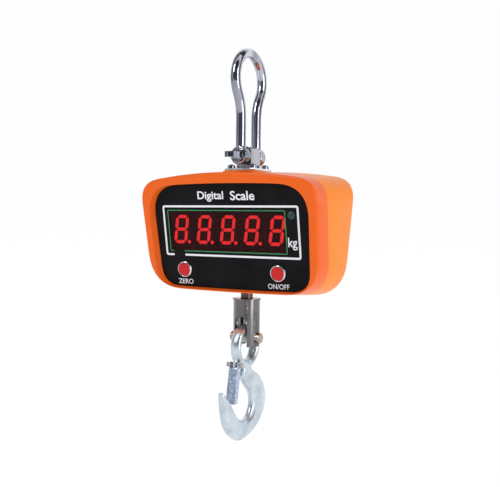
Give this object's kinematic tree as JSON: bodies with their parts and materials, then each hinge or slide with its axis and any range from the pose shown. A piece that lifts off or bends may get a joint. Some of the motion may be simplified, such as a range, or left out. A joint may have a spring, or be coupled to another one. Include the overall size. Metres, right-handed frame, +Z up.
{
  "type": "digital crane scale",
  "caption": "Hanging digital crane scale: bow shackle above an orange display housing, load cell inside, and a swivelling safety hook with a sprung latch below",
  "frame": {"origin": "crown of the shackle bow's inside, where the lifting hook bears, on the load axis", "axes": "+Z up along the load axis, -Y towards the display's front, +X to the right seen from the front; the scale hangs from the shackle with its hook straight down"},
  "size_m": [0.2016, 0.1005, 0.4048],
  "materials": {
    "shackle_bow": "bright zinc plated",
    "shackle_pin": "bright zinc plated",
    "load_cell": "machined",
    "strain_gauges": "film",
    "top_plate": "plated",
    "plate_screws": "plated",
    "top_seal": "matt",
    "front_cover": "gloss orange enamel",
    "rear_shell": "gloss orange enamel",
    "case_gasket": "matt",
    "case_screws": "plated",
    "front_panel": "semi-gloss black",
    "display_window": "dark red filter",
    "digit_segments": "lit red",
    "digit_modules": "matt",
    "display_board": "solder mask",
    "board_spacers": "nylon",
    "indicator_lamp": "tinted",
    "zero_button": "red",
    "zero_bezel": "bright",
    "power_button": "red",
    "power_bezel": "bright",
    "bezel_nuts": "plain",
    "button_switches": "matt",
    "main_board": "solder mask",
    "board_chips": "matt",
    "battery": "matt",
    "battery_strap": "plated",
    "post_screws": "plated",
    "charger_socket": "matt",
    "bottom_seal": "matt",
    "swivel_shaft": "turned",
    "shaft_nut": "turned",
    "thrust_bearing": "ground",
    "swivel_barrel": "turned, nickel plated",
    "barrel_pin": "turned",
    "hook": "galvanised, satin",
    "latch": "zinc plated sheet",
    "latch_pin": "zinc plated",
    "latch_spring": "spring wire"
  },
  "bodies": {
    "shackle": {"shackle_bow": "shackle_bow", "shackle_pin": "shackle_pin"},
    "housing": {"load_cell": "load_cell", "strain_gauges": "strain_gauges", "top_plate": "top_plate", "plate_screws": "plate_screws", "top_seal": "top_seal", "front_cover": "front_cover", "rear_shell": "rear_shell", "case_gasket": "case_gasket", "case_screws": "case_screws", "front_panel": "front_panel", "display_window": "display_window", "digit_segments": "digit_segments", "digit_modules": "digit_modules", "display_board": "display_board", "board_spacers": "board_spacers", "indicator_lamp": "indicator_lamp", "zero_bezel": "zero_bezel", "power_bezel": "power_bezel", "bezel_nuts": "bezel_nuts", "button_switches": "button_switches", "main_board": "main_board", "board_chips": "board_chips", "battery": "battery", "battery_strap": "battery_strap", "post_screws": "post_screws", "charger_socket": "charger_socket", "bottom_seal": "bottom_seal", "swivel_shaft": "swivel_shaft", "shaft_nut": "shaft_nut", "thrust_bearing": "thrust_bearing"},
    "zero_key": {"zero_button": "zero_button"},
    "power_key": {"power_button": "power_button"},
    "swivel": {"swivel_barrel": "swivel_barrel", "barrel_pin": "barrel_pin"},
    "hook_body": {"hook": "hook", "latch_pin": "latch_pin", "latch_spring": "latch_spring"},
    "latch_body": {"latch": "latch"}
  },
  "joints": [
    {"name": "shackle_swing", "type": "hinge", "parent": "shackle", "child": "housing", "pos_m": [0, 0, -0.101], "axis": [0, 1, 0], "range_deg": [-80, 80]},
    {"name": "zero_press", "type": "slide", "parent": "housing", "child": "zero_key", "axis": [0, 0.9854, 0.1702], "range_m": [0, 0.0015], "stiffness_N_per_m": 600, "springref_m": -0.0005},
    {"name": "power_press", "type": "slide", "parent": "housing", "child": "power_key", "axis": [0, 0.9854, 0.1702], "range_m": [0, 0.0015], "stiffness_N_per_m": 600, "springref_m": -0.0005},
    {"name": "barrel_swivel", "type": "hinge", "parent": "housing", "child": "swivel", "pos_m": [0, 0, -0.2887], "axis": [0, 0, 1], "continuous": true},
    {"name": "hook_swing", "type": "hinge", "parent": "swivel", "child": "hook_body", "pos_m": [0, 0, -0.2887], "axis": [1, 0, 0], "range_deg": [-60, 60]},
    {"name": "latch_open", "type": "hinge", "parent": "hook_body", "child": "latch_body", "pos_m": [0, -0.0226, -0.3146], "axis": [1, 0, 0], "range_deg": [0, 32], "stiffness_Nm_per_rad": 0.03, "springref_deg": -34.38}
  ]
}
